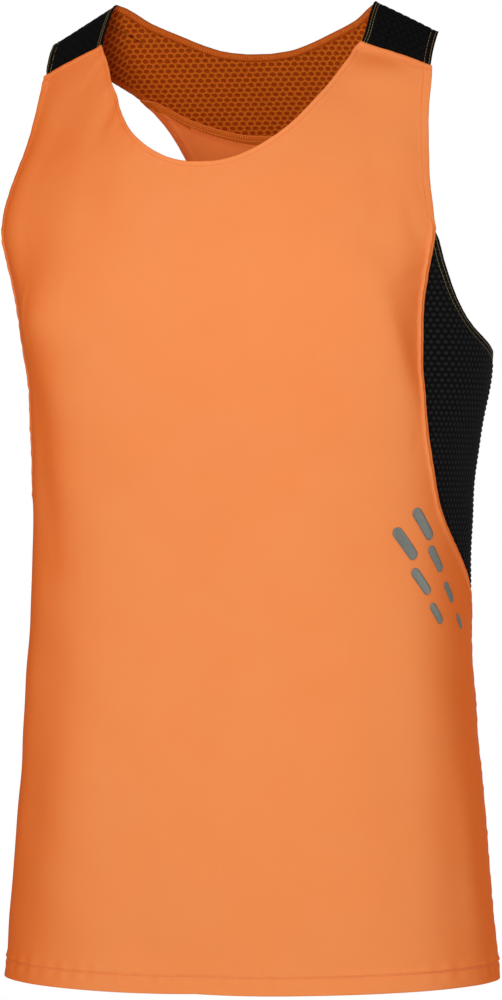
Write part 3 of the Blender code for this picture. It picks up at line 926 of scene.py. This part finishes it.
# Lengths over the bare cloth from a panel's middle and a level: each point's place on the flat knit
def flatAround(points, panel, side=1):
    starts = (side * panel["middle"], panel["level"])
    return np.stack([walked(around, points, k, start) for k, start in enumerate(starts)], -1)


frontPanel = {"step": 0.0036, "acrossStep": 0.0031, "middle": 0, "level": 0.3,
              "flat": (0.598, 0.698), "cutArea": 0.2935}


def makeFrontPanel(materials):
    step = frontPanel["step"]
    neck = lay(anglesOf(marks["frontNeck"]), byAngle, frontPanel["acrossStep"])
    shoulder = lay(anglesOf(marks["shoulderSeam"]), byAngle, frontPanel["acrossStep"], endClose=closeAtEdge)
    armhole = lay(anglesOf(marks["frontArmhole"]), byAngle, step, endClose=closeAtEdge)
    panelSeam = lay(turns["frontSeam"], byAngle, step)
    lowSeam = sideSeam(step)
    head = chain(neck, shoulder)
    side = chain(lowSeam, panelSeam, armhole)
    middle = upright(0, marks["frontNeck"][0][1], sharesOf(side, byAngle))
    foot = hemLine(turns["sideSeam"] * sharesOf(head, byAngle))
    points = bothHalves(net(foot, head, middle, side, byAngle), True)
    edges = [("hem", points[0], 1)] + bothSides(
        ("neck", neck, -1), ("shoulder", shoulder, -1), ("armhole", armhole, 1),
        ("seam", panelSeam, 1), ("seam", lowSeam, 1))
    piece = addCloth("frontPanel", around, points, edges, flatAround(points, frontPanel), materials)
    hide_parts("front_panel")
    return piece, edges


backPanel = {"step": 0.0037, "acrossStep": 0.0022, "overlock": 0.0052, "taperFrom": -0.004,
             "taperOver": 0.016, "middle": 180, "level": 0.3, "flat": (0.385, 0.668), "cutArea": 0.185}


# The back runs up inside the yoke's seam, in a tapered lap, and under the front at the side seams
def makeBackPanel(materials):
    step, overlock = backPanel["step"], backPanel["overlock"]
    seam = lay(marks["yokeSeam"], byLength, backPanel["acrossStep"], startClose=closeAtEdge)
    seam = anglesOf(seam, True)
    fromEnd = lengthsOf(around(seam[:, 0], seam[:, 1]))[:, None]
    wide = soft((fromEnd - backPanel["taperFrom"]) / backPanel["taperOver"])
    top = moved(around, seam, overlock * wide)
    top[-1, 0] = 180
    armhole = lay(anglesOf(marks["backArmhole"], True), byAngle, step)
    armhole = np.concatenate((armhole, top[:1]))
    panelSeam = lay(turns["backSeam"], byAngle, step)
    lowSeam = sideSeam(step)
    under = moved(around, lowSeam, cloth["lap"])
    side = chain(under, panelSeam[1:], armhole)
    middle = upright(180, top[-1, 1], sharesOf(side, byAngle))
    foot = hemLine(under[0, 0] + (180 - under[0, 0]) * sharesOf(top, byAngle))
    points = bothHalves(net(foot, top, side, middle, byAngle), False, (360, 0))
    edges = [("hem", points[0], 1)] + bothSides(
        ("armhole", armhole, -1), ("seam", panelSeam, -1), ("lapped", under, cloth["lap"]),
        ("lapped", top, overlock), other=(360, 0))
    piece = addCloth("backPanel", around, points, edges, flatAround(points, backPanel), materials)
    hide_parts("back_panel")
    return piece, edges


sidePanel = {"downStep": 0.0013, "acrossStep": 0.0014, "middle": 93, "level": 0.33,
             "bulge": 0.0006, "flat": (0.164, 0.292), "cutArea": 0.0250}


def makeSidePanel(name, node, side, materials):
    front = lay(turns["frontSeam"], byAngle, sidePanel["downStep"], endClose=closeAtEdge)
    back = lay(turns["backSeam"], byAngle, shares=sharesOf(front, byAngle))
    front, back = moved(around, front, cloth["lap"]), moved(around, back, -cloth["lap"])
    head = lay(turns["underarm"], byAngle, sidePanel["acrossStep"])
    head[0], head[-1] = front[-1], back[-1]
    foot = front[0] + sharesOf(head, byAngle)[:, None] * (back[0] - front[0])
    points = net(foot, head, front, back, byAngle) * (side, 1)
    edges = [("meshArmhole", points[-1], -side), ("lapped", points[:, 0], cloth["lap"]),
             ("lapped", points[:, -1], cloth["lap"])]
    flat = flatAround(points, sidePanel, side)
    piece = addCloth(name, around, points, edges, flat, materials, sidePanel["bulge"])
    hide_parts(node)
    return piece, edges


yoke = {"step": 0.0008, "acrossStep": 0.0008, "bulge": 0.0003, "flat": (0.321, 0.160), "cutArea": 0.0226}


# From under the front panel, over both shoulders, down to the seam across the back
def makeYoke(materials):
    start = lay(marks["shoulderSeam"], byLength, yoke["acrossStep"], closeAtEdge, closeAtEdge)
    start = moved(over, runsOf(start), -cloth["lap"])
    strap = runsOf(marks["backStrap"], True)[::-1]
    outerEdge = np.concatenate((start[-1:], ((marks["ridgeAcross"], 0),), strap))
    seam = runsOf(lay(marks["yokeSeam"], byLength, yoke["step"]), True)
    outer = chain(lay(outerEdge, byRun, yoke["step"]), seam)
    neckEdge = np.concatenate((start[:1], marks["neckRuns"], runsOf(marks["backNeck"], True)))
    neck = lay(neckEdge, byRun, shares=sharesOf(outer, byRun))
    end = neck[-1] + sharesOf(start, byRun)[:, None] * (outer[-1] - neck[-1])
    points = bothHalves(net(neck, outer, start, end, byRun), False)
    strapEdge = outer[: len(outer) - len(seam) + 1]
    edges = bothSides(("meshNeck", neck, -1), ("meshStrap", strapEdge, 1), ("meshSeam", seam, 1),
                      ("lapped", start, cloth["lap"]))
    # Its rows lie level across the back, and don't follow the neck's arch
    flat = np.stack([walked(over, points, k, 0) for k in range(2)], -1)
    flat[..., 1] -= crown(np.clip(points[..., 0], -figure["neckHalf"], figure["neckHalf"]))
    piece = addCloth("backYoke", over, points, edges, flat, materials, yoke["bulge"])
    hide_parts("back_yoke")
    return piece, edges


# Each interlock knit's second colour is its painted shade, where the cloth turns away from the camera
orange = interlockKnit("orange interlock knit", "#FA9455", "#FF7626")
orangeInside = interlockKnit("orange knit wrong side", "#FA8E48", "#FA7424")
# The overlocked lap under the yoke is painted darker than the wrong side, a painted shade among its overlock
# threads
orangeLapShaded = interlockKnit("orange overlocked edge, painted shade", "#D06A1E", "#BC5610")
# Painted highlights on the black face: its domes are painted lighter, more on the side panels, which get
# less light, than on the straps, which face the lamps
meshFaceDomeHighlight = dimpleKnit("black dimpled mesh face, painted dome highlights", "#010102", "#1F1F22", 0.95)
strapFaceFaintHighlight = dimpleKnit("black dimpled mesh strap, fainter painted dome highlights", "#020203", "#09090A", 1.0)
meshInside = dimpleKnit("orange dimpled mesh wrong side", "#C46210", "#923600", 1.15)
# The mesh's turned bands inside are painted darker, as the shade between their overlock threads
meshBandShaded = interlockKnit("orange mesh edge inside, painted shade", "#BC5612", "#A4460A")

front, frontEdges = makeFrontPanel((orange, orangeInside, orange))
back, backEdges = makeBackPanel((orange, orangeInside, orangeInside, orangeLapShaded))
yokePiece, yokeEdges = makeYoke((strapFaceFaintHighlight, meshInside, meshBandShaded))
sideMesh = (meshFaceDomeHighlight, meshInside, meshBandShaded)
left, leftEdges = makeSidePanel("leftSidePanel", "side_panel_left", 1, sideMesh)
right, rightEdges = makeSidePanel("rightSidePanel", "side_panel_right", -1, sideMesh)
print("cloth made")

orangeThread = sewingThread("orange thread", "#FA9A60", "#F08A50")
needleThread = sewingThread("olive needle thread", "#857D4E", "#8A6234")
overlockThread = sewingThread("orange overlock thread", "#F8924C", "#EA7C34")

sewn = {
    "front": (orangeThread, around, frontEdges),
    "back": (orangeThread, around, backEdges),
    "yoke": (needleThread, over, [edge for edge in yokeEdges if edge[0] != "meshSeam"]),
    "left": (needleThread, around, leftEdges),
    "right": (needleThread, around, rightEdges),
}
stitches = {name: addThreadPiece(name + "Stitches", thread, addRows, place, edges)
            for name, (thread, place, edges) in sewn.items()}
overlocks = {name: addThreadPiece(name + "Overlock", overlockThread, addRungs, place, edges)
             for name, (_, place, edges) in sewn.items()}
print("sewing made")

# Plain bars beside the left side panel's seam, in two staggered columns that shrink downwards
bars = columns(
    "angle below length width",
    (70.0, 0.378, 0.028, 0.0082),
    (64.8, 0.392, 0.028, 0.0082),
    (75.6, 0.403, 0.023, 0.0074),
    (70.0, 0.419, 0.023, 0.0074),
    (81.8, 0.427, 0.018, 0.0064),
    (75.4, 0.442, 0.018, 0.0064),
    (88.2, 0.448, 0.013, 0.0052),
)
barWay = np.array((23.5, 0.077))  # by angle and depth, along the seam there
# Along and across count points, roundShare leaves a bar's ends a little width, and beads are per metre
film = {"over": 0.0005, "under": 0.0001, "along": 20, "across": 6, "roundShare": 0.98, "probe": 0.01,
        "beads": 1400}


# Each bar is a closed film on the cloth, with half-round ends
def makeBars(material):
    bm = bmesh.new()
    bm.verts.layers.int.new("spot")
    for angle, below, length, width in zip(*bars.values()):
        centre = np.array((angle, below))
        little = barWay * film["probe"]
        pace = little / np.linalg.norm(around(*(centre + little)) - around(*centre))
        radius = width / 2
        stations = np.sin(np.linspace(-1, 1, film["along"]) * math.pi / 2) * length / 2
        pastStraight = np.clip(np.abs(stations) - (length / 2 - radius), 0, radius)
        half = np.sqrt(radius**2 - film["roundShare"] * pastStraight**2)[:, None]
        line = centre + stations[:, None] * pace
        points = np.array([moved(around, line, side * half)
                           for side in np.linspace(-1, 1, film["across"])])
        places, normals = around(points[..., 0], points[..., 1]), outward(around, points)
        addShell(bm, places + normals * film["over"], places + normals * film["under"])
    return finished("reflectiveBars", bm, (material,))


reflectiveBars = makeBars(reflectiveFilm())
print("bars made")
